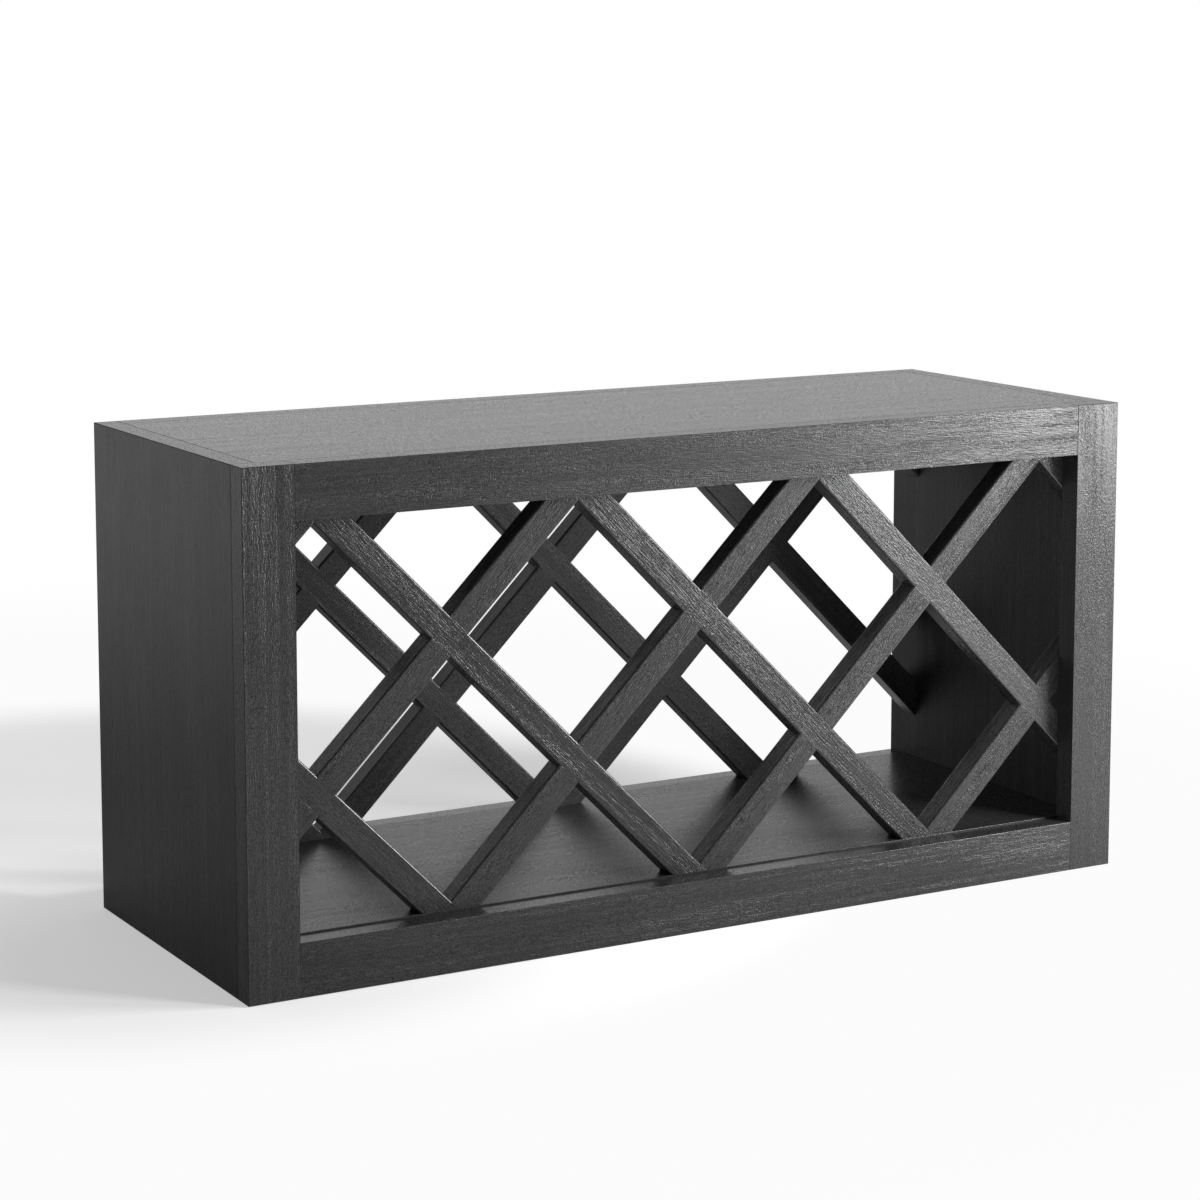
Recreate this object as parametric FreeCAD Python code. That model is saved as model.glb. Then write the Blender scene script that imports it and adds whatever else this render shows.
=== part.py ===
"""Open wall wine rack: a framed box with one crossed lattice of slats at its front and one at its back.

All sizes are in millimetres. X runs to the right, Y to the back and Z up.
The origin is the middle of the underside, so the front is at -Y and the wall is at +Y.
"""

import FreeCAD, Part
import math
import os

# Overall size
WIDTH = 762.0
HEIGHT = 381.0
DEPTH = 285.75

# Face frame: two full-height stiles with two rails between them
FRAME_THICKNESS = 19.05
STILE_WIDTH = 40.0
TOP_RAIL_HEIGHT = 40.0
BOTTOM_RAIL_HEIGHT = 40.0

# Box behind the face frame
SIDE_THICKNESS = 18.0
TOP_THICKNESS = 18.0
BOTTOM_THICKNESS = 18.0
FLOOR_STEP = 1.2  # rise from the bottom rail's upper edge to the bottom panel's upper face

# Rails across the back, between the sides. The bottom one is as high as the front bottom rail
REAR_RAIL_THICKNESS = 19.05
HANGING_RAIL_HEIGHT = 70.0

# Holes for the wall screws, through the part of the hanging rail below the top panel
WALL_HOLE_SPACING = 406.4
WALL_HOLE_DIAMETER = 5.0

# Lattice slats: square bars, half-lapped flush where they cross
SLAT_WIDTH = 22.0
SLAT_DEPTH = 19.05
SLAT_PITCH = 150.0
SLAT_ANGLE = 45.0
LATTICE_PHASE = 0.25  # place of the slat nearest the middle, as a share of the pitch
SHORTEST_SLAT = 40.0  # a slat shorter than this along its middle line is left out
LAP_CLEARANCE = 0.05  # each side of a half-lap notch

# Eased edges. Slats are rounded between their crossings only, where the laps lie flush
BOARD_EDGE_RADIUS = 0.3
SLAT_EDGE_RADIUS = 1.8

# Glued dowels inside the joints
DOWEL_DIAMETER = 8.0
DOWEL_END_DEPTH = 19.0  # into the end or edge of a board
DOWEL_COVER = 7.0  # wood beyond the dowel where it stands in the flat of a board
DOWEL_CLEARANCE = 0.05  # glue line round a dowel
DOWEL_END_GAP = 1.0  # room for glue past each end of a dowel
RAIL_DOWEL_INSET = 10.0  # from a rail's edge to its outer dowels
PANEL_DOWEL_INSET = 40.0  # from a panel's front and rear edges to the dowels in its ends
EDGE_DOWEL_INSET = 100.0  # from a panel's ends to the dowels in its long edges
STILE_DOWEL_INSET = 60.0  # from a stile's ends to the dowels in its back

# Headed brads that pin the lattices
BRAD_DIAMETER = 1.6
BRAD_HEAD_DIAMETER = 3.2
BRAD_HEAD_THICKNESS = 0.8
BRAD_GRIP = 5.0  # depth in the board behind the slat
BRAD_CLEARANCE = 0.05

# Planes worked out from the sizes above
FRONT = -DEPTH / 2
BACK = DEPTH / 2
FRAME_BACK = FRONT + FRAME_THICKNESS
REAR_RAIL_FRONT = BACK - REAR_RAIL_THICKNESS
INSIDE_X = WIDTH / 2 - SIDE_THICKNESS
OPENING_X = WIDTH / 2 - STILE_WIDTH
FLOOR = BOTTOM_RAIL_HEIGHT + FLOOR_STEP
CEILING = HEIGHT - TOP_THICKNESS
OPENING_TOP = HEIGHT - TOP_RAIL_HEIGHT
HANGING_RAIL_LOW = HEIGHT - HANGING_RAIL_HEIGHT
LATTICE_CENTRE_Z = (FLOOR + OPENING_TOP) / 2

RIGHT = FreeCAD.Vector(1, 0, 0)
REARWARD = FreeCAD.Vector(0, 1, 0)
RISING, FALLING = 1, -1

pieces = {}


def square_box(low, high):
    """Block between two corners."""
    size = FreeCAD.Vector(*high) - FreeCAD.Vector(*low)
    return Part.makeBox(size.x, size.y, size.z, FreeCAD.Vector(*low))


def eased_box(low, high, radius):
    """Block between two corners, with all its edges rounded a little."""
    box = square_box(low, high)
    return box.makeFillet(radius, box.Edges)


def add_board(name, low, high):
    """Adds one board of the box or the face frame."""
    pieces[name] = eased_box(low, high, BOARD_EDGE_RADIUS)


def make_face_frame():
    """Stiles outside, rails between them, flush all round."""
    add_board("left_stile", (-WIDTH / 2, FRONT, 0), (-OPENING_X, FRAME_BACK, HEIGHT))
    add_board("right_stile", (OPENING_X, FRONT, 0), (WIDTH / 2, FRAME_BACK, HEIGHT))
    add_board("top_rail", (-OPENING_X, FRONT, OPENING_TOP), (OPENING_X, FRAME_BACK, HEIGHT))
    add_board("bottom_rail", (-OPENING_X, FRONT, 0), (OPENING_X, FRAME_BACK, BOTTOM_RAIL_HEIGHT))


def make_box():
    """Sides, panels and rear rails behind the face frame."""
    add_board("left_side_panel", (-WIDTH / 2, FRAME_BACK, 0), (-INSIDE_X, BACK, HEIGHT))
    add_board("right_side_panel", (INSIDE_X, FRAME_BACK, 0), (WIDTH / 2, BACK, HEIGHT))
    add_board("top_panel", (-INSIDE_X, FRAME_BACK, CEILING), (INSIDE_X, REAR_RAIL_FRONT, HEIGHT))
    add_board(
        "bottom_panel",
        (-INSIDE_X, FRAME_BACK, FLOOR - BOTTOM_THICKNESS),
        (INSIDE_X, REAR_RAIL_FRONT, FLOOR),
    )
    add_board("rear_top_rail", (-INSIDE_X, REAR_RAIL_FRONT, HANGING_RAIL_LOW), (INSIDE_X, BACK, HEIGHT))
    add_board("rear_bottom_rail", (-INSIDE_X, REAR_RAIL_FRONT, 0), (INSIDE_X, BACK, BOTTOM_RAIL_HEIGHT))


def drill_wall_holes():
    """Two through holes in the hanging rail, midway between its lower edge and the top panel."""
    height = (HANGING_RAIL_LOW + CEILING) / 2
    for side in (-1, 1):
        start = FreeCAD.Vector(side * WALL_HOLE_SPACING / 2, REAR_RAIL_FRONT, height)
        hole = Part.makeCylinder(WALL_HOLE_DIAMETER / 2, REAR_RAIL_THICKNESS, start, REARWARD)
        pieces["rear_top_rail"] = pieces["rear_top_rail"].cut(hole)


def add_dowels(group, face_board, end_board, joint_points, direction, face_depth):
    """Dowels across a joint, running from face_board into end_board, with their blind holes."""
    length = face_depth + DOWEL_END_DEPTH
    dowels = list(pieces[group].Solids) if group in pieces else []
    for point in joint_points:
        start = FreeCAD.Vector(*point) - direction * face_depth
        dowels.append(Part.makeCylinder(DOWEL_DIAMETER / 2, length, start, direction))
        hole = Part.makeCylinder(
            DOWEL_DIAMETER / 2 + DOWEL_CLEARANCE,
            length + 2 * DOWEL_END_GAP,
            start - direction * DOWEL_END_GAP,
            direction,
        )
        for board in (face_board, end_board):
            pieces[board] = pieces[board].cut(hole)
    pieces[group] = Part.makeCompound(dowels)


def ends_and_middle(low, high, inset):
    """Three places along a joint: one inset from each end and one halfway."""
    return (low + inset, (low + high) / 2, high - inset)


def dowel_face_frame():
    """Two dowels in each corner of the face frame, and the frame to the box behind it."""
    middle_y = (FRONT + FRAME_BACK) / 2
    rails = {"top_rail": (OPENING_TOP, HEIGHT), "bottom_rail": (0, BOTTOM_RAIL_HEIGHT)}
    for rail, (low, high) in rails.items():
        heights = (low + RAIL_DOWEL_INSET, high - RAIL_DOWEL_INSET)
        for stile, side in (("left_stile", -1), ("right_stile", 1)):
            points = [(side * OPENING_X, middle_y, z) for z in heights]
            add_dowels("face_frame_dowels", stile, rail, points, RIGHT * -side, DOWEL_END_DEPTH)

    face_depth = FRAME_THICKNESS - DOWEL_COVER
    side_middle_x = WIDTH / 2 - SIDE_THICKNESS / 2
    for hand, side in (("left", -1), ("right", 1)):
        heights = ends_and_middle(0, HEIGHT, STILE_DOWEL_INSET)
        points = [(side * side_middle_x, FRAME_BACK, z) for z in heights]
        add_dowels("stile_dowels", f"{hand}_stile", f"{hand}_side_panel", points, REARWARD, face_depth)

    places = ends_and_middle(-INSIDE_X, INSIDE_X, EDGE_DOWEL_INSET)
    for level, z in panel_middles().items():
        points = [(x, FRAME_BACK, z) for x in places]
        add_dowels("front_rail_dowels", f"{level}_rail", f"{level}_panel", points, REARWARD, face_depth)


def dowel_box():
    """Panels and rear rails to the sides, and rear rails to the panels."""
    face_depth = SIDE_THICKNESS - DOWEL_COVER
    rear_middle_y = (REAR_RAIL_FRONT + BACK) / 2
    rear_rails = {"rear_top_rail": (HANGING_RAIL_LOW, HEIGHT), "rear_bottom_rail": (0, BOTTOM_RAIL_HEIGHT)}
    for side_panel, side in (("left_side_panel", -1), ("right_side_panel", 1)):
        for level, z in panel_middles().items():
            places = ends_and_middle(FRAME_BACK, REAR_RAIL_FRONT, PANEL_DOWEL_INSET)
            points = [(side * INSIDE_X, y, z) for y in places]
            add_dowels(
                f"{level}_panel_dowels", side_panel, f"{level}_panel", points, RIGHT * -side, face_depth
            )
        for rail, (low, high) in rear_rails.items():
            heights = (low + RAIL_DOWEL_INSET, high - RAIL_DOWEL_INSET)
            points = [(side * INSIDE_X, rear_middle_y, z) for z in heights]
            add_dowels("rear_rail_end_dowels", side_panel, rail, points, RIGHT * -side, face_depth)

    rail_depth = REAR_RAIL_THICKNESS - DOWEL_COVER
    places = ends_and_middle(-INSIDE_X, INSIDE_X, EDGE_DOWEL_INSET)
    for level, z in panel_middles().items():
        points = [(x, REAR_RAIL_FRONT, z) for x in places]
        add_dowels(
            "rear_rail_edge_dowels", f"rear_{level}_rail", f"{level}_panel", points, -REARWARD, rail_depth
        )


def panel_middles():
    """Heights of the middle planes of the top and bottom panels."""
    return {"top": HEIGHT - TOP_THICKNESS / 2, "bottom": FLOOR - BOTTOM_THICKNESS / 2}


def slat_line(lean, offset):
    """Lower and upper end of a slat's middle line inside the box, as (x, z), or None if it is too short."""
    along_x = math.cos(math.radians(SLAT_ANGLE))
    along_z = math.sin(math.radians(SLAT_ANGLE))
    # Worked out for a rising slat. A falling one is its mirror image
    start_x = offset * along_z
    start_z = LATTICE_CENTRE_Z - offset * along_x
    low = max((-INSIDE_X - start_x) / along_x, (FLOOR - start_z) / along_z)
    high = min((INSIDE_X - start_x) / along_x, (CEILING - start_z) / along_z)
    if high - low < SHORTEST_SLAT:
        return None
    return [(lean * (start_x + t * along_x), start_z + t * along_z) for t in (low, high)]


def slat_offsets():
    """Distances from the lattice's middle to the slats that fit in the box, by steps from the middle slat."""
    reach = math.ceil((WIDTH + HEIGHT) / SLAT_PITCH)
    offsets = {step: (step - LATTICE_PHASE) * SLAT_PITCH for step in range(-reach, reach + 1)}
    return {step: offset for step, offset in offsets.items() if slat_line(RISING, offset)}


def slat_crossing(rising_offset, falling_offset):
    """Point (x, z) where the middle lines of a rising and a falling slat cross."""
    angle = math.radians(SLAT_ANGLE)
    x = (rising_offset - falling_offset) / (2 * math.sin(angle))
    z = LATTICE_CENTRE_Z - (rising_offset + falling_offset) / (2 * math.cos(angle))
    return (x, z)


def slat_name(lattice, lean, step):
    """Name of a slat by its place: the middle one, or counted from it to the left or right."""
    word = "rising" if lean == RISING else "falling"
    place = "middle"
    if step:
        place = f"{'right' if step * lean > 0 else 'left'}_{abs(step)}"
    return f"{lattice}_{word}_slat_{place}"


def lay_along(bar, lean, offset):
    """Turns a bar that lies along X at the origin onto its place in the lattice."""
    angle = math.radians(SLAT_ANGLE)
    bar.rotate(FreeCAD.Vector(), REARWARD, -lean * SLAT_ANGLE)
    shift_x = lean * offset * math.sin(angle)
    shift_z = LATTICE_CENTRE_Z - offset * math.cos(angle)
    bar.translate(FreeCAD.Vector(shift_x, 0, shift_z))
    return bar


def bar_corners(front_y, back_y, width):
    """Corners of a bar along X, longer than the box, before it is laid in its place."""
    reach = WIDTH + HEIGHT
    return (-reach, front_y, -width / 2), (reach, back_y, width / 2)


def lattice_space(front_y):
    """Block inside the box that a lattice stands in."""
    return square_box((-INSIDE_X, front_y, FLOOR), (INSIDE_X, front_y + SLAT_DEPTH, CEILING))


def lattice_openings(front_y):
    """What the slats leave free. The flared rims of the openings round the slats between their crossings."""
    openings = lattice_space(front_y)
    for lean in (FALLING, RISING):
        for offset in slat_offsets().values():
            corners = bar_corners(front_y, front_y + SLAT_DEPTH, SLAT_WIDTH)
            rounded_bar = eased_box(*corners, SLAT_EDGE_RADIUS)
            openings = openings.cut(lay_along(rounded_bar, lean, offset))
    return openings


def make_slat(lean, offset, front_y, openings):
    """One slat, cut to the inside of the box and notched to half its depth at each crossing."""
    middle_y = front_y + SLAT_DEPTH / 2
    back_y = front_y + SLAT_DEPTH
    bar = square_box(*bar_corners(front_y, back_y, SLAT_WIDTH))
    slat = lay_along(bar, lean, offset).common(lattice_space(front_y)).cut(openings)
    # Falling slats keep their front half at a crossing, and rising slats their rear half
    notch_span = (middle_y, back_y) if lean == FALLING else (front_y, middle_y)
    for crossing in slat_offsets().values():
        notch = square_box(*bar_corners(*notch_span, SLAT_WIDTH + 2 * LAP_CLEARANCE))
        slat = slat.cut(lay_along(notch, -lean, crossing))
    return slat


def brad_points(band_x, band_z):
    """Places to pin a lattice: where slat middle lines cross the boards that it lies against.

    band_x is the edge of the upright boards, or None without them, and band_z the edge of the top board.
    """
    ends = {FALLING: [], RISING: []}
    for lean in ends:
        for offset in slat_offsets().values():
            (low_x, low_z), (high_x, high_z) = slat_line(lean, offset)
            slope = (high_z - low_z) / (high_x - low_x)
            if math.isclose(high_z, CEILING):
                z = (band_z + CEILING) / 2
                ends[lean].append(((low_x + (z - low_z) / slope, z), offset))
            for end_x in (low_x, high_x):
                if band_x is not None and math.isclose(abs(end_x), INSIDE_X):
                    x = math.copysign((band_x + INSIDE_X) / 2, end_x)
                    ends[lean].append(((x, low_z + (x - low_x) * slope), offset))
    # Two slats that cross near such a place share one brad, through their half-lap
    points = []
    for point, offset in ends[FALLING]:
        partners = [end for end in ends[RISING] if math.dist(point, end[0]) < SLAT_WIDTH]
        for partner in partners:
            ends[RISING].remove(partner)
            point = slat_crossing(partner[1], offset)
        points.append(point)
    return points + [point for point, offset in ends[RISING]]


def make_brad(x, z, face_y, drive, clearance):
    """Headed brad driven from a slat's free face, or its hole when it has a clearance."""
    start = FreeCAD.Vector(x, face_y, z)
    length = SLAT_DEPTH + BRAD_GRIP + clearance
    shank = Part.makeCylinder(BRAD_DIAMETER / 2 + clearance, length, start, drive)
    head = Part.makeCylinder(
        BRAD_HEAD_DIAMETER / 2 + clearance, BRAD_HEAD_THICKNESS + clearance, start, drive
    )
    return shank.fuse(head).removeSplitter()


def make_lattice(name, front_y, face_y, drive, boards, points):
    """One lattice with the brads that pin it to the boards it lies against."""
    slats = []
    openings = lattice_openings(front_y)
    for lean in (FALLING, RISING):
        for step, offset in slat_offsets().items():
            slats.append(slat_name(name, lean, step))
            pieces[slats[-1]] = make_slat(lean, offset, front_y, openings)
    brads = [make_brad(x, z, face_y, drive, 0) for x, z in points]
    holes = Part.makeCompound([make_brad(x, z, face_y, drive, BRAD_CLEARANCE) for x, z in points])
    for piece in slats + boards:
        pieces[piece] = pieces[piece].cut(holes)
    pieces[f"{name}_lattice_brads"] = Part.makeCompound(brads)


def make_lattices():
    """Front lattice against the back of the face frame, rear lattice against the hanging rail."""
    frame = ["left_stile", "right_stile", "top_rail"]
    frame_points = brad_points(OPENING_X, OPENING_TOP)
    make_lattice("front", FRAME_BACK, FRAME_BACK + SLAT_DEPTH, -REARWARD, frame, frame_points)
    rear_front_y = REAR_RAIL_FRONT - SLAT_DEPTH
    rail_points = brad_points(None, HANGING_RAIL_LOW)
    make_lattice("rear", rear_front_y, rear_front_y, REARWARD, ["rear_top_rail"], rail_points)


def export_pieces():
    """One file per piece, each checked to be sound."""
    os.makedirs("parts", exist_ok=True)
    for name, shape in pieces.items():
        if not shape.isValid():
            raise ValueError(f"{name} is not a sound solid")
        shape.exportStep(f"parts/{name}.step")
        print(f"{name}: {len(shape.Solids)} solids, {shape.Volume / 1000:.1f} cm3")


make_face_frame()
make_box()
drill_wall_holes()
dowel_face_frame()
dowel_box()
make_lattices()
export_pieces()
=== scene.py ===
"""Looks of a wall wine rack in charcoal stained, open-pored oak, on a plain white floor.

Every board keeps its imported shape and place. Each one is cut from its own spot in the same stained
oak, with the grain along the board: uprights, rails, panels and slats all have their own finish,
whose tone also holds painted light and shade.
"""

import math

import bpy
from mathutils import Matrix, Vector


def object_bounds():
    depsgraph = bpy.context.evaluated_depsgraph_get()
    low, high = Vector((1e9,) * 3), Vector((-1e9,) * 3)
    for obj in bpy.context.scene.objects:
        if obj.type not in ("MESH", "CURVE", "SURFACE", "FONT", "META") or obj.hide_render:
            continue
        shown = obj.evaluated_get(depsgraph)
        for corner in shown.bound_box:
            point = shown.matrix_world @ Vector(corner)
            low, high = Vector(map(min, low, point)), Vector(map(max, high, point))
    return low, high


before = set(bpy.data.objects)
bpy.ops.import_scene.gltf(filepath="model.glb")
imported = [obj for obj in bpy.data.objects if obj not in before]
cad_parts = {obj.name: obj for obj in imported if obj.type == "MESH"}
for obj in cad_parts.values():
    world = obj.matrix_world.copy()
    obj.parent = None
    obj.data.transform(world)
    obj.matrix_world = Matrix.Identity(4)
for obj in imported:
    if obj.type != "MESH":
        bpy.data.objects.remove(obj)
CAD_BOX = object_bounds()

# Which way the grain runs, as a turn about Y that brings it onto X
ALONG_X = 0.0
UPRIGHT = math.radians(90)
RISING = math.radians(45)
FALLING = math.radians(-45)

# Marks in the wood: length along the grain and width across it, in metres
FLECK = (0.0011, 0.0010)
PORE = (0.009, 0.0008)
STREAK = (0.25, 0.0035)
BAND = (0.16, 0.014)
DRIFT = (0.30, 0.08)
RUBBED_PATCH = (0.03, 0.008)
LACQUER_PATCH = (0.05, 0.02)

# Waves of the grain: length, width and reach, in metres
LONG_WAVE = (0.16, 0.035, 0.003)
SHORT_WAVE = (0.022, 0.006, 0.0004)

# Other sizes in the wood, in metres
RING_SPACING = 0.0055
FIBRE_WIDTH = 0.00085
RELIEF_DEPTH = 0.0008
WORN_EDGE = 0.0012
JOINT_WIDTH = 0.0007
JOINT_CORE = JOINT_WIDTH / 3

# Noise behind the marks: its octaves and its middle
SMOOTH = 1.0
USUAL = 2.0
PATCHY = 3.0
NOISE_MIDDLE = (0.5, 0.5, 0.5)

# Spot of each board in the tree: a step along it, then distances from its heart in metres
SPOT_STEP = 1.7
HEART_NEAR = (0.06, 0.05)
HEART_STEP = (0.021, 0.034)
HEART_RUNS = (7, 5)

# Noise levels between which a mark comes in, followed by what it gives at both ends
EARLY_WOOD_START = (0.0, 0.12, 0.0, 1.0)
EARLY_WOOD_END = (0.3, 0.7, 1.0, 0.0)
PORE_CUT = (0.54, 0.70, 0.0, 1.0)
PORE_CROWD = (0.0, 1.0, 0.4, 1.0)
FIBRE_STAIN = (0.3, 0.7, 0.0, 1.0)
RUBBED_CUT = (0.35, 0.75, 0.0, 1.0)
DRIFT_TONE = (0.25, 0.75, 0.85, 1.15)
FLECK_TONE = (0.25, 0.75, 0.42, 1.58)
STREAK_TONE = (0.3, 0.7, 0.86, 1.14)
BAND_TONE = (0.35, 0.65, 0.93, 1.07)
BAND_BRUSH = (0.35, 0.65, 0.45, 1.0)
STREAK_BRUSH = (0.35, 0.65, 0.65, 1.3)
LACQUER_ROUGHNESS = (0.2, 0.8, -0.03, 0.03)
TOP_ROUGHNESS = (0.3, 0.7, 0.18, 0.44)

# How squarely a face looks along its board, or up, where the rounded edges and the top begin
ROUNDED_FACING = (0.995, 0.93)
UPWARD_FACING = (0.75, 0.95)

# Strength of the marks: stain, roughness and height
PORE_STAIN = 0.35
PORE_ROUGHNESS = 0.08
PORE_DEPTH = 0.25
FLECK_HEIGHT = 0.6
WORN_STAIN = 0.3
JOINT_STAIN = 0.9
JOINT_ROUGHNESS = 0.8
JOINT_ON_TOP = 0.55
ROUNDED_POLISH = 0.02
ROUNDED_SANDED = 0.85
TOP_SANDED = 0.93
TOP_STREAKS = 0.15
ARRIS_COAT = 0.6
ARRIS_ROUGHNESS = 0.2

# Stain colours, linear grey
PORE_BLACK = (0.014, 0.014, 0.0143, 1)
STAIN_DARK = (0.033, 0.033, 0.0335, 1)
STAIN_LIGHT = (0.046, 0.046, 0.0467, 1)
STAIN_WORN = (0.09, 0.089, 0.088, 1)

# Finish of each kind of board: brushed relief, length of its fibres, roughness, tone and dark joints
# Besides each board's own stain, the tone holds painted light and shade: the rear and rising slats are
# painted lighter, the right stile, the falling slats and the shelf darker
FINISHES = {
    "left_stile": {"Relief": 0.72, "Fibre": 0.005, "Roughness": 0.30, "Tone And Painted Light": 1.0, "Joint": 1.0},
    "right_stile": {"Relief": 0.62, "Fibre": 0.0025, "Roughness": 0.30, "Tone And Painted Light": 0.85, "Joint": 1.0},
    "rail": {"Relief": 0.95, "Fibre": 0.008, "Roughness": 0.30, "Tone And Painted Light": 0.82},
    "base_rail": {"Relief": 0.65, "Fibre": 0.009, "Roughness": 0.30, "Tone And Painted Light": 0.85},
    "panel": {"Relief": 0.8, "Fibre": 0.012, "Roughness": 0.28, "Tone And Painted Light": 0.95, "Joint": 1.0},
    "shelf": {"Relief": 0.2, "Fibre": 0.012, "Roughness": 0.36, "Tone And Painted Light": 0.7},
    "left_side": {"Relief": 0.25, "Fibre": 0.02, "Roughness": 0.32, "Tone And Painted Light": 0.85, "Joint": 1.0},
    "right_side": {"Relief": 0.25, "Fibre": 0.02, "Roughness": 0.34, "Tone And Painted Light": 0.9, "Joint": 1.0},
    "front_falling": {"Relief": 1.3, "Fibre": 0.015, "Roughness": 0.26, "Tone And Painted Light": 0.85},
    "soft_falling": {"Relief": 0.85, "Fibre": 0.010, "Roughness": 0.27, "Tone And Painted Light": 0.8},
    "smooth_falling": {"Relief": 0.3, "Fibre": 0.010, "Roughness": 0.30, "Tone And Painted Light": 0.9},
    "fine_falling": {"Relief": 0.72, "Fibre": 0.005, "Roughness": 0.28, "Tone And Painted Light": 0.95},
    "front_rising": {"Relief": 1.3, "Fibre": 0.008, "Roughness": 0.30, "Tone And Painted Light": 1.1},
    "rear_falling": {"Relief": 0.35, "Fibre": 0.004, "Roughness": 0.34, "Tone And Painted Light": 1.15},
    "rear_rising": {"Relief": 0.35, "Fibre": 0.004, "Roughness": 0.34, "Tone And Painted Light": 1.1},
}

# How much each finish mirrors, set on the shader itself
SPECULAR = {
    "left_stile": 0.40,
    "right_stile": 0.37,
    "rail": 0.40,
    "base_rail": 0.36,
    "panel": 0.55,
    "shelf": 0.21,
    "left_side": 0.35,
    "right_side": 0.35,
    "front_falling": 0.36,
    "soft_falling": 0.33,
    "smooth_falling": 0.34,
    "fine_falling": 0.36,
    "front_rising": 0.36,
    "rear_falling": 0.33,
    "rear_rising": 0.33,
}

# Boards of the box, with their grain and finish
BOX_BOARDS = [
    ("left_stile", UPRIGHT, "left_stile"),
    ("right_stile", UPRIGHT, "right_stile"),
    ("top_rail", ALONG_X, "rail"),
    ("bottom_rail", ALONG_X, "base_rail"),
    ("left_side_panel", UPRIGHT, "left_side"),
    ("right_side_panel", UPRIGHT, "right_side"),
    ("top_panel", ALONG_X, "panel"),
    ("bottom_panel", ALONG_X, "shelf"),
    ("rear_top_rail", ALONG_X, "panel"),
    ("rear_bottom_rail", ALONG_X, "panel"),
]

# Slats that are brushed unlike the others of their row
OWN_FINISHES = {
    "front_falling_slat_left_2": "smooth_falling",
    "front_falling_slat_left_1": "soft_falling",
    "front_falling_slat_right_1": "fine_falling",
    "front_falling_slat_right_2": "fine_falling",
}

# Hidden fastenings: turned beech dowels and drawn steel brads, by the end of their nodes' names
FASTENINGS = {
    "_dowels": {
        "name": "beech",
        "mark": (0.012, 0.0012),
        "dark": (0.50, 0.33, 0.19, 1),
        "light": (0.66, 0.47, 0.30, 1),
        "roughness": (0.2, 0.8, 0.5, 0.65),
        "relief": 0.3,
        "depth": 0.0002,
        "metallic": 0.0,
    },
    "_brads": {
        "name": "brad_steel",
        "mark": (0.0004, 0.0015),
        "dark": (0.42, 0.42, 0.43, 1),
        "light": (0.60, 0.60, 0.61, 1),
        "roughness": (0.2, 0.8, 0.25, 0.42),
        "relief": 0.2,
        "depth": 0.0001,
        "metallic": 1.0,
    },
}

# Camera at the photograph's place
CAMERA_PLACE = (-1.2042, -2.0901, 0.6782)
CAMERA_YAW = math.radians(29.59)
CAMERA_PITCH = math.radians(7.17)
CAMERA_LENS = 92.96
CAMERA_SENSOR = 36.0
CAMERA_SHIFT_Y = -0.15

# Lights: a soft key low on the right, and a fill above it that shows in no gloss
KEY_POWER = 12.0
KEY_SIZE = 0.4
KEY_AZIMUTH = math.radians(50)
KEY_ELEVATION = math.radians(12)
KEY_DISTANCE = 1.1
FILL_POWER = 21.5
FILL_SIZE = 0.4
FILL_AZIMUTH = math.radians(36)
FILL_ELEVATION = math.radians(30)
FILL_DISTANCE = 2.5

# Studio: dim all round and brighter behind, with a white backdrop that shows in the gloss of the top
STUDIO_LOW = 0.44
STUDIO_HIGH = 0.08
STUDIO_CLIMB = (0.0, 0.6)
STUDIO_REAR = 2.3
STUDIO_TURN = (-0.2, 0.6)
BACKDROP_SIDE = (0.5, 0.86, 0.0)
BACKDROP_EDGE = (0.76, 0.92)

# Flag: a strip over the front edge that keeps the key off the top, with a pale glow for its gloss
FLAG_LEFT = -0.44
FLAG_RIGHT = 0.66
FLAG_FORWARD = 0.0016
FLAG_GAP = 0.0008
FLAG_HEIGHT = 0.1
FLAG_BLACK = (0.02, 0.02, 0.02, 1)
FLAG_GLOW = 0.25

# Floor: it keeps the shadow near the rack and turns plain white further out
FLOOR_RADIUS = 12.0
FLOOR_SIDES = 96
FLOOR_DROP = 0.0004
FLOOR_WHITE = (0.93, 0.93, 0.93, 1)
FLOOR_SHADE = (-0.3, 0.3, 0.0)
FLOOR_FADE = (0.46, 0.62)
FLOOR_PALE = 0.97
FLOOR_PALE_RANGE = (0.9, 1.4)

# Glow that lifts the floor for the camera; painted shade where it is less, at the rack's left foot and
# just behind it
FLOOR_LIFT = (0.42, 0.56)
FLOOR_FOOT = (-0.33, 0.0, 0.0)
FLOOR_RISE = (0.14, 0.36)
FLOOR_BACK = (0.09, 0.27, 0.0)
FLOOR_BACK_FADE = (0.12, 0.30)
FLOOR_BACK_PAINTED_SHADE = 0.115

# Stretch of white floor, behind on the left, that shows in the gloss of the left side
MIRROR_SIDE = (-0.35, 0.94, 0.0)
MIRROR_EDGE = (0.55, 0.80)
MIRROR_FADE = (0.3, 2.1)
MIRROR_SHARE = 0.5

# Shared by the stage pieces
WHITE = (1, 1, 1, 1)
MATT = 0.9


def add_node(tree, kind, inputs=None, **settings):
    """A new node with its settings, and its inputs linked or set."""
    node = tree.nodes.new(kind)
    for name, value in settings.items():
        setattr(node, name, value)
    for key, value in (inputs or {}).items():
        if isinstance(value, bpy.types.NodeSocket):
            tree.links.new(value, node.inputs[key])
        else:
            node.inputs[key].default_value = value
    return node


def calculate(tree, operation, first, second):
    """One number worked out from two."""
    return add_node(tree, "ShaderNodeMath", {0: first, 1: second}, operation=operation).outputs[0]


def multiply(tree, first, *others):
    """The product of some numbers."""
    product = first
    for value in others:
        product = calculate(tree, "MULTIPLY", product, value)
    return product


def rest_of(tree, share):
    """What a share leaves of one."""
    return calculate(tree, "SUBTRACT", 1.0, share)


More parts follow.
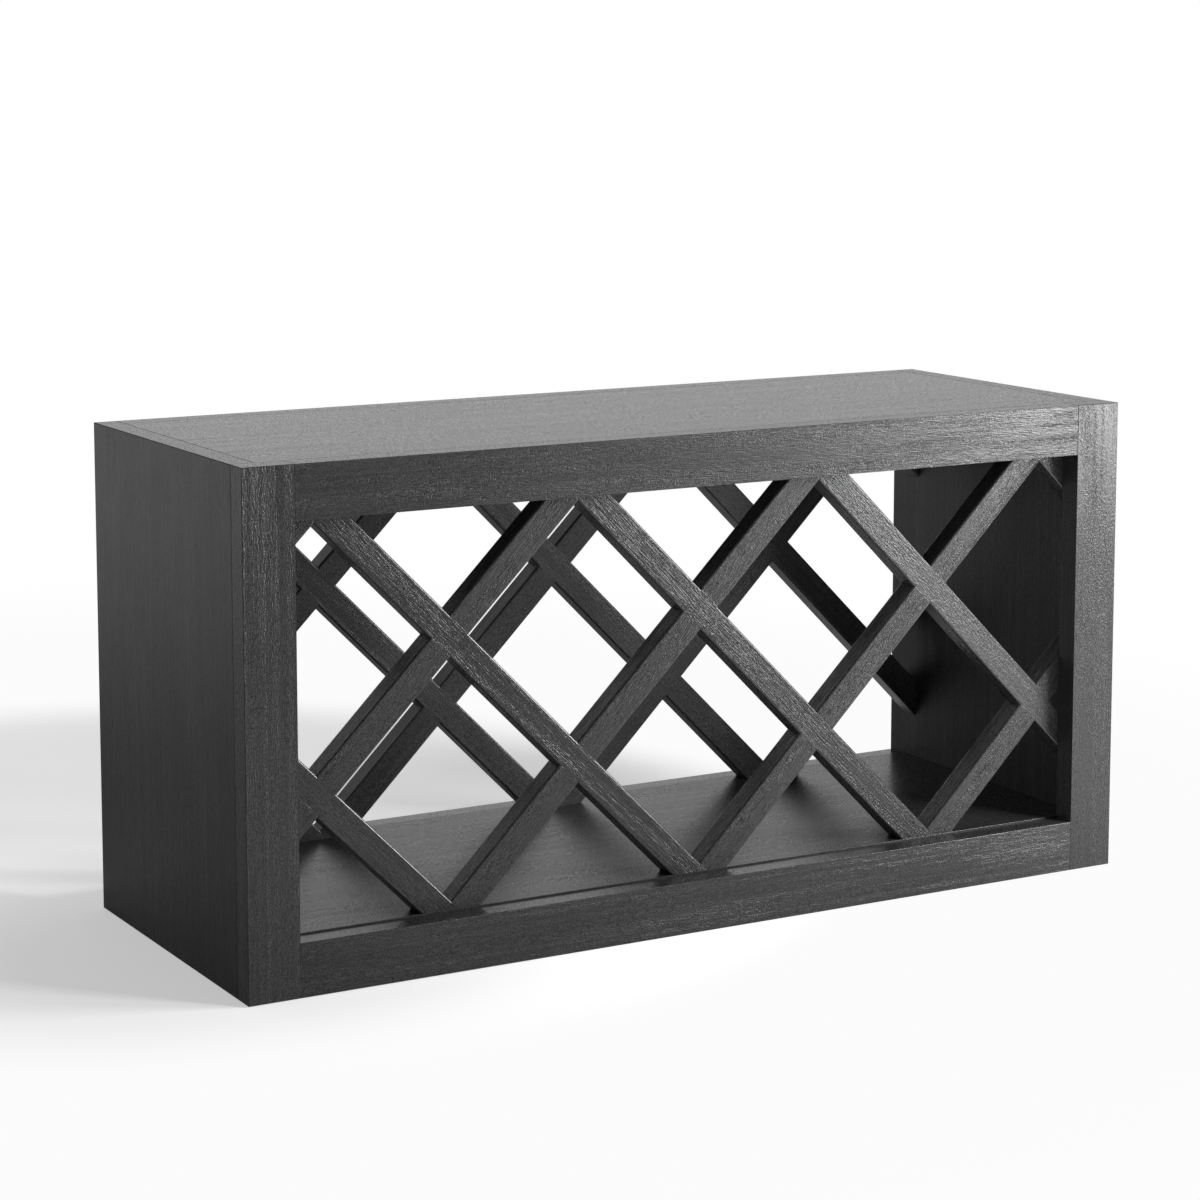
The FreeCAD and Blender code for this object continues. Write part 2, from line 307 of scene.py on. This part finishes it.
def calculate_vector(tree, operation, first, second=(0, 0, 0)):
    """One vector worked out from two."""
    inputs = {0: first, 1: second}
    return add_node(tree, "ShaderNodeVectorMath", inputs, operation=operation).outputs[0]


def measure(tree, operation, first, second=(0, 0, 0)):
    """One number worked out from vectors, such as a length."""
    inputs = {0: first, 1: second}
    return add_node(tree, "ShaderNodeVectorMath", inputs, operation=operation).outputs["Value"]


def distance_from(tree, place, point):
    """How far a place is from a point."""
    return measure(tree, "LENGTH", calculate_vector(tree, "SUBTRACT", place, point))


def split(tree, vector):
    """The three parts of a vector."""
    return add_node(tree, "ShaderNodeSeparateXYZ", {0: vector}).outputs


def turn_about_y(tree, vector, angle):
    """A vector turned about Y, as a board is to bring its grain onto X."""
    inputs = {"Vector": vector, "Angle": angle}
    return add_node(tree, "ShaderNodeVectorRotate", inputs, rotation_type="Y_AXIS").outputs[0]


def ramp(tree, value, low, high, to_low=0.0, to_high=1.0):
    """The value smoothly stepped from low to high."""
    inputs = {"Value": value, 1: low, 2: high, 3: to_low, 4: to_high}
    return add_node(tree, "ShaderNodeMapRange", inputs, interpolation_type="SMOOTHSTEP").outputs[0]


def blend_colours(tree, share, first, second, blend_type="MIX"):
    """Two colours mixed by a share."""
    inputs = {0: share, 6: first, 7: second}
    node = add_node(tree, "ShaderNodeMix", inputs, data_type="RGBA", blend_type=blend_type)
    return node.outputs[2]


def blend_numbers(tree, share, first, second):
    """Two numbers mixed by a share."""
    return add_node(tree, "ShaderNodeMix", {0: share, 2: first, 3: second}).outputs[0]


def noise_node(tree, place, length, width, detail):
    """Noise drawn out along the grain, as wood fibres are."""
    scaled = calculate_vector(tree, "MULTIPLY", place, (1 / length, 1 / width, 1 / width))
    return add_node(tree, "ShaderNodeTexNoise", {"Vector": scaled, "Scale": 1.0, "Detail": detail})


def marks(tree, place, size, detail=USUAL):
    """Marks of one length and width along the grain, from nothing to one."""
    return noise_node(tree, place, *size, detail).outputs["Fac"]


def wander(tree, place, length, width, reach):
    """The place pushed sideways, so that the grain runs in waves."""
    noise = noise_node(tree, place, length, width, USUAL).outputs["Color"]
    centred = calculate_vector(tree, "SUBTRACT", noise, NOISE_MIDDLE)
    pushed = calculate_vector(tree, "MULTIPLY", centred, (0, 2 * reach, 2 * reach))
    return calculate_vector(tree, "ADD", place, pushed)


def edge_distance(tree, place, centre, half_size):
    """How far a point of a board's surface is from the nearest arris."""
    offset = calculate_vector(tree, "SUBTRACT", place, centre)
    inset = calculate_vector(tree, "SUBTRACT", half_size, calculate_vector(tree, "ABSOLUTE", offset))
    x, y, z = split(tree, inset)
    nearer = calculate(tree, "MINIMUM", x, y)
    further = calculate(tree, "MAXIMUM", x, y)
    return calculate(tree, "MAXIMUM", nearer, calculate(tree, "MINIMUM", further, z))


def rounded_edge(tree, turn):
    """One on the rounded edges of a board and nothing on its flat faces."""
    normal = add_node(tree, "ShaderNodeTexCoord").outputs["Normal"]
    turned = turn_about_y(tree, normal, turn)
    x, y, z = split(tree, calculate_vector(tree, "ABSOLUTE", turned))
    flattest = calculate(tree, "MAXIMUM", x, calculate(tree, "MAXIMUM", y, z))
    return ramp(tree, flattest, *ROUNDED_FACING)


def upward_face(tree):
    """One on faces that look up."""
    normal = add_node(tree, "ShaderNodeTexCoord").outputs["Normal"]
    return ramp(tree, split(tree, normal)["Z"], *UPWARD_FACING)


def add_sockets(tree):
    """What the oak group takes and gives."""
    sockets = [
        ("INPUT", "NodeSocketFloat", ("Turn", "Relief", "Fibre", "Roughness", "Tone And Painted Light", "Joint")),
        ("INPUT", "NodeSocketVector", ("Spot", "Centre", "Half Size")),
        ("OUTPUT", "NodeSocketColor", ("Color",)),
        ("OUTPUT", "NodeSocketFloat", ("Roughness", "Arris")),
        ("OUTPUT", "NodeSocketVector", ("Normal",)),
    ]
    for side, kind, names in sockets:
        for name in names:
            tree.interface.new_socket(name, in_out=side, socket_type=kind)


def draw_grain(tree, spot, fibre_length):
    """Brushed fibres, short flecks, pores that crowd the early wood, streaks, bands and slow drifts."""
    wavy = wander(tree, wander(tree, spot, *LONG_WAVE), *SHORT_WAVE)

    # Growth rings about the heart, which lies at the spot's origin
    radius = measure(tree, "LENGTH", calculate_vector(tree, "MULTIPLY", wavy, (0, 1, 1)))
    ring = calculate(tree, "FRACT", calculate(tree, "DIVIDE", radius, RING_SPACING), 0.0)
    early_wood = multiply(tree, ramp(tree, ring, *EARLY_WOOD_START), ramp(tree, ring, *EARLY_WOOD_END))
    pore_marks = marks(tree, wavy, PORE, SMOOTH)
    pores = multiply(tree, ramp(tree, pore_marks, *PORE_CUT), ramp(tree, early_wood, *PORE_CROWD))

    # Fibres as long as the board's finish says
    drawn_out = {0: calculate(tree, "DIVIDE", 1.0, fibre_length), 1: 1.0, 2: 1.0}
    fibre_scale = add_node(tree, "ShaderNodeCombineXYZ", drawn_out).outputs[0]
    fibre_place = calculate_vector(tree, "MULTIPLY", wavy, fibre_scale)
    return {
        "fibres": marks(tree, fibre_place, (1.0, FIBRE_WIDTH), SMOOTH),
        "flecks": marks(tree, wavy, FLECK, SMOOTH),
        "pores": pores,
        "bands": marks(tree, spot, BAND),
        "streaks": marks(tree, spot, STREAK),
        "drift": marks(tree, spot, DRIFT),
        "rubbed": marks(tree, spot, RUBBED_PATCH, PATCHY),
        "lacquer": marks(tree, spot, LACQUER_PATCH, PATCHY),
    }


def find_faces(tree, given, turned, grain):
    """Where a board's top, rounded edges, rubbed arrises and joints are."""
    edge = edge_distance(tree, turned, given["Centre"], given["Half Size"])
    top = upward_face(tree)
    return {
        "top": top,
        "rounded": rounded_edge(tree, given["Turn"]),
        "worn": multiply(
            tree,
            ramp(tree, edge, WORN_EDGE, 0.0),
            ramp(tree, grain["rubbed"], *RUBBED_CUT),
        ),
        "joint": multiply(
            tree,
            ramp(tree, edge, JOINT_WIDTH, JOINT_CORE),
            given["Joint"],
            ramp(tree, top, 0.0, 1.0, 1.0, JOINT_ON_TOP),
        ),
    }


def oak_colour(tree, given, grain, faces):
    """Stain darker in pores and joints, speckled by the grain and rubbed lighter on the arrises."""
    stain = blend_colours(tree, ramp(tree, grain["fibres"], *FIBRE_STAIN), STAIN_DARK, STAIN_LIGHT)
    stain = blend_colours(tree, multiply(tree, grain["pores"], PORE_STAIN), stain, PORE_BLACK)
    # The board's tone is partly painted light and shade, not only its stain
    brightness = multiply(
        tree,
        given["Tone And Painted Light"],
        ramp(tree, grain["drift"], *DRIFT_TONE),
        ramp(tree, grain["flecks"], *FLECK_TONE),
        ramp(tree, grain["streaks"], *STREAK_TONE),
        ramp(tree, grain["bands"], *BAND_TONE),
    )
    grey = add_node(tree, "ShaderNodeCombineColor", {0: brightness, 1: brightness, 2: brightness})
    stain = blend_colours(tree, 1.0, stain, grey.outputs[0], "MULTIPLY")
    colour = blend_colours(tree, multiply(tree, faces["worn"], WORN_STAIN), stain, STAIN_WORN)
    return blend_colours(tree, multiply(tree, faces["joint"], JOINT_STAIN), colour, PORE_BLACK)


def oak_roughness(tree, given, grain, faces):
    """Roughness drifts with the lacquer, opens in pores and joints and closes on the rounded edges."""
    lacquer = ramp(tree, grain["lacquer"], *LACQUER_ROUGHNESS)
    roughness = calculate(tree, "ADD", given["Roughness"], lacquer)
    roughness = calculate(tree, "ADD", roughness, multiply(tree, grain["pores"], PORE_ROUGHNESS))
    polish = multiply(tree, faces["rounded"], ROUNDED_POLISH)
    roughness = calculate(tree, "SUBTRACT", roughness, polish)
    grained = blend_numbers(tree, TOP_STREAKS, grain["flecks"], grain["streaks"])
    roughness = blend_numbers(tree, faces["top"], roughness, ramp(tree, grained, *TOP_ROUGHNESS))
    return blend_numbers(tree, faces["joint"], roughness, JOINT_ROUGHNESS)


def oak_relief(tree, given, grain, faces):
    """Fibres stand, pores are sunk, bands are brushed deeper, and the top and edges are sanded."""
    height = calculate(tree, "ADD", grain["fibres"], multiply(tree, grain["flecks"], FLECK_HEIGHT))
    height = calculate(tree, "SUBTRACT", height, multiply(tree, grain["pores"], PORE_DEPTH))
    sanded = calculate(
        tree,
        "MAXIMUM",
        multiply(tree, faces["rounded"], ROUNDED_SANDED),
        multiply(tree, faces["top"], TOP_SANDED),
    )
    strength = multiply(
        tree,
        ramp(tree, grain["bands"], *BAND_BRUSH),
        given["Relief"],
        ramp(tree, grain["streaks"], *STREAK_BRUSH),
        rest_of(tree, sanded),
    )
    inputs = {"Strength": strength, "Distance": RELIEF_DEPTH, "Height": height}
    return add_node(tree, "ShaderNodeBump", inputs).outputs[0]


def make_oak_group():
    """The stained oak as one node group: colour, roughness, normal and lacquer on the arrises."""
    tree = bpy.data.node_groups.new("stained_oak", "ShaderNodeTree")
    add_sockets(tree)
    given = tree.nodes.new("NodeGroupInput").outputs

    # Board coordinates with the grain along X, then the board's own spot in the tree
    place = add_node(tree, "ShaderNodeTexCoord").outputs["Object"]
    turned = turn_about_y(tree, place, given["Turn"])
    spot = calculate_vector(tree, "ADD", turned, given["Spot"])

    grain = draw_grain(tree, spot, given["Fibre"])
    faces = find_faces(tree, given, turned, grain)
    arris = multiply(tree, faces["rounded"], ARRIS_COAT, rest_of(tree, faces["joint"]))
    result = tree.nodes.new("NodeGroupOutput").inputs
    tree.links.new(oak_colour(tree, given, grain, faces), result["Color"])
    tree.links.new(oak_roughness(tree, given, grain, faces), result["Roughness"])
    tree.links.new(oak_relief(tree, given, grain, faces), result["Normal"])
    tree.links.new(arris, result["Arris"])
    return tree


def new_material(name):
    """A new node material, with its tree and its shader."""
    material = bpy.data.materials.new(name)
    material.use_nodes = True
    return material, material.node_tree, material.node_tree.nodes["Principled BSDF"]


def wear_material(node, material):
    """The only material of a node."""
    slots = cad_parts[node].data.materials
    slots.clear()
    slots.append(material)


def board_box(node, turn):
    """Centre and half size of a board, in coordinates that run along its grain."""
    points = []
    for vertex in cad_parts[node].data.vertices:
        x, y, z = vertex.co
        along = x * math.cos(turn) + z * math.sin(turn)
        over = z * math.cos(turn) - x * math.sin(turn)
        points.append((along, y, over))
    low = Vector(map(min, zip(*points)))
    high = Vector(map(max, zip(*points)))
    return (low + high) / 2, (high - low) / 2


def tree_spot(number):
    """Where in the tree a board is cut from: a different run of rings for each board."""
    from_heart = [
        near + step * (number % run) for near, step, run in zip(HEART_NEAR, HEART_STEP, HEART_RUNS)
    ]
    return Vector((SPOT_STEP * number, *from_heart))


def dress_board(node, turn, finish, number, oak):
    """Stained oak on one board."""
    material, tree, shader = new_material(f"{node}_oak")
    centre, half_size = board_box(node, turn)
    inputs = {"Turn": turn, "Spot": tree_spot(number), "Centre": centre, "Half Size": half_size}
    inputs.update(FINISHES[finish])
    wood = tree.nodes.new("ShaderNodeGroup")
    wood.node_tree = oak
    for name, value in inputs.items():
        wood.inputs[name].default_value = value
    tree.links.new(wood.outputs["Color"], shader.inputs["Base Color"])
    tree.links.new(wood.outputs["Roughness"], shader.inputs["Roughness"])
    tree.links.new(wood.outputs["Normal"], shader.inputs["Normal"])
    tree.links.new(wood.outputs["Arris"], shader.inputs["Coat Weight"])
    shader.inputs["Specular IOR Level"].default_value = SPECULAR[finish]
    shader.inputs["Coat Roughness"].default_value = ARRIS_ROUGHNESS
    wear_material(node, material)


def make_fastening(name, mark, dark, light, roughness, relief, depth, metallic):
    """The material of a hidden fastening, marked by its own grain or scratches."""
    material, tree, shader = new_material(name)
    place = add_node(tree, "ShaderNodeTexCoord").outputs["Object"]
    grain = marks(tree, place, mark, PATCHY)
    tree.links.new(blend_colours(tree, grain, dark, light), shader.inputs["Base Color"])
    tree.links.new(ramp(tree, grain, *roughness), shader.inputs["Roughness"])
    bump = add_node(tree, "ShaderNodeBump", {"Strength": relief, "Distance": depth, "Height": grain})
    tree.links.new(bump.outputs[0], shader.inputs["Normal"])
    shader.inputs["Metallic"].default_value = metallic
    return material


def board_list():
    """Every wooden board with its grain and finish: the box, then the slats by name."""
    boards = list(BOX_BOARDS)
    for node in sorted(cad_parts):
        row = "_".join(node.split("_")[:2])
        finish = OWN_FINISHES.get(node, row)
        if "_rising_slat_" in node:
            boards.append((node, RISING, finish))
        if "_falling_slat_" in node:
            boards.append((node, FALLING, finish))
    return boards


def dress_nodes():
    """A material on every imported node."""
    oak = make_oak_group()
    for number, (node, turn, finish) in enumerate(board_list()):
        dress_board(node, turn, finish, number, oak)
    for ending, look in FASTENINGS.items():
        material = make_fastening(**look)
        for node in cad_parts:
            if node.endswith(ending):
                wear_material(node, material)


def seen_rays(tree):
    """One for rays that see the white background straight on or through glass."""
    paths = add_node(tree, "ShaderNodeLightPath").outputs
    return calculate(tree, "MAXIMUM", paths["Is Camera Ray"], paths["Is Transmission Ray"])


def mirrored_rays(tree, direction, side, edge):
    """One for mirrored rays that go to one side of the studio."""
    paths = add_node(tree, "ShaderNodeLightPath").outputs
    facing = measure(tree, "DOT_PRODUCT", direction, side)
    return multiply(tree, paths["Is Glossy Ray"], ramp(tree, facing, *edge))


def floor_glow(tree, place):
    """How much the floor is lifted for the camera, less at the rack's left foot and just behind it as
    painted shade.
    """
    camera_ray = add_node(tree, "ShaderNodeLightPath").outputs["Is Camera Ray"]
    lift = ramp(tree, distance_from(tree, place, FLOOR_FOOT), *FLOOR_RISE, *FLOOR_LIFT)
    behind = distance_from(tree, place, FLOOR_BACK)
    painted_shade = ramp(tree, behind, *FLOOR_BACK_FADE, FLOOR_BACK_PAINTED_SHADE, 0.0)
    return multiply(tree, camera_ray, calculate(tree, "SUBTRACT", lift, painted_shade))


def whiten_far_floor(tree, place, near):
    """The floor's own shader near the rack, and plain white where it is far or mirrored."""
    away = distance_from(tree, place, FLOOR_SHADE)
    direction = calculate_vector(tree, "NORMALIZE", place)
    seen = multiply(tree, ramp(tree, away, *FLOOR_FADE), seen_rays(tree))
    mirrored = multiply(
        tree,
        ramp(tree, away, *MIRROR_FADE, 0.0, MIRROR_SHARE),
        mirrored_rays(tree, direction, MIRROR_SIDE, MIRROR_EDGE),
    )
    far = calculate(tree, "MAXIMUM", seen, mirrored)
    strength = ramp(tree, away, *FLOOR_PALE_RANGE, FLOOR_PALE, 1.0)
    white = add_node(tree, "ShaderNodeEmission", {"Color": WHITE, "Strength": strength}).outputs[0]
    return add_node(tree, "ShaderNodeMixShader", {0: far, 1: near, 2: white}).outputs[0]


def make_floor():
    """A white floor that keeps the shadow near the rack and turns plain white further out."""
    bpy.ops.mesh.primitive_circle_add(vertices=FLOOR_SIDES, radius=FLOOR_RADIUS, fill_type="NGON")
    floor = bpy.context.object
    floor.name = "floor"
    floor.location.z = -FLOOR_DROP
    material, tree, shader = new_material("floor_white")
    shader.inputs["Base Color"].default_value = FLOOR_WHITE
    shader.inputs["Roughness"].default_value = MATT
    shader.inputs["Specular IOR Level"].default_value = 0.0
    shader.inputs["Emission Color"].default_value = WHITE
    place = add_node(tree, "ShaderNodeTexCoord").outputs["Object"]
    tree.links.new(floor_glow(tree, place), shader.inputs["Emission Strength"])
    surface = whiten_far_floor(tree, place, shader.outputs[0])
    tree.links.new(surface, tree.nodes["Material Output"].inputs["Surface"])
    floor.data.materials.append(material)


def make_world():
    """White where the camera sees it and on the backdrop, over a dim studio."""
    world = bpy.data.worlds.new("studio")
    bpy.context.scene.world = world
    world.use_nodes = True
    tree = world.node_tree
    direction = add_node(tree, "ShaderNodeTexCoord").outputs["Generated"]
    sides = split(tree, direction)
    studio = multiply(
        tree,
        ramp(tree, sides["Z"], *STUDIO_CLIMB, STUDIO_LOW, STUDIO_HIGH),
        ramp(tree, sides["Y"], *STUDIO_TURN, 1.0, STUDIO_REAR),
    )
    backdrop = mirrored_rays(tree, direction, BACKDROP_SIDE, BACKDROP_EDGE)
    white = calculate(tree, "MAXIMUM", seen_rays(tree), backdrop)
    background = tree.nodes["Background"].inputs
    background["Color"].default_value = WHITE
    tree.links.new(ramp(tree, white, 0.0, 1.0, studio, 1.0), background["Strength"])


def add_softbox(name, azimuth, elevation, distance, size, power):
    """A square soft light that faces the middle of the rack."""
    light = bpy.data.lights.new(name, "AREA")
    light.energy = power
    light.size = size
    lamp = bpy.data.objects.new(name, light)
    lamp.visible_camera = False
    bpy.context.scene.collection.objects.link(lamp)
    middle = (CAD_BOX[0] + CAD_BOX[1]) / 2
    away = Vector((
        math.sin(azimuth) * math.cos(elevation),
        -math.cos(azimuth) * math.cos(elevation),
        math.sin(elevation),
    ))
    lamp.location = middle + away * distance
    lamp.rotation_euler = (-away).to_track_quat("-Z", "Y").to_euler()
    return lamp


def make_lights():
    """The key and the fill."""
    add_softbox("key", KEY_AZIMUTH, KEY_ELEVATION, KEY_DISTANCE, KEY_SIZE, KEY_POWER)
    fill = add_softbox("fill", FILL_AZIMUTH, FILL_ELEVATION, FILL_DISTANCE, FILL_SIZE, FILL_POWER)
    fill.visible_glossy = False


def make_flag():
    """A dark strip, out of the picture, that keeps the key off the top as a studio flag does.

    Its pale glow shows only in gloss, so that the top isn't black from behind.
    """
    bpy.ops.mesh.primitive_plane_add(size=1.0)
    flag = bpy.context.object
    flag.name = "flag"
    flag.scale = (FLAG_RIGHT - FLAG_LEFT, FLAG_HEIGHT, 1)
    flag.rotation_euler.x = math.radians(90)
    flag.location = (
        (FLAG_LEFT + FLAG_RIGHT) / 2,
        CAD_BOX[0].y - FLAG_FORWARD,
        CAD_BOX[1].z + FLAG_GAP + FLAG_HEIGHT / 2,
    )
    flag.visible_camera = False
    flag.visible_diffuse = False
    material, _, shader = new_material("flag_black")
    shader.inputs["Base Color"].default_value = FLAG_BLACK
    shader.inputs["Roughness"].default_value = MATT
    shader.inputs["Emission Color"].default_value = WHITE
    shader.inputs["Emission Strength"].default_value = FLAG_GLOW
    flag.data.materials.append(material)


def make_camera():
    """The photograph's view."""
    data = bpy.data.cameras.new("camera")
    data.sensor_width = CAMERA_SENSOR
    data.lens = CAMERA_LENS
    data.shift_y = CAMERA_SHIFT_Y
    camera = bpy.data.objects.new("camera", data)
    bpy.context.scene.collection.objects.link(camera)
    camera.location = CAMERA_PLACE
    camera.rotation_euler = (math.radians(90) - CAMERA_PITCH, 0, -CAMERA_YAW)
    bpy.context.scene.camera = camera


dress_nodes()
make_floor()
make_world()
make_lights()
make_flag()
make_camera()
bpy.context.scene.view_settings.view_transform = "Standard"
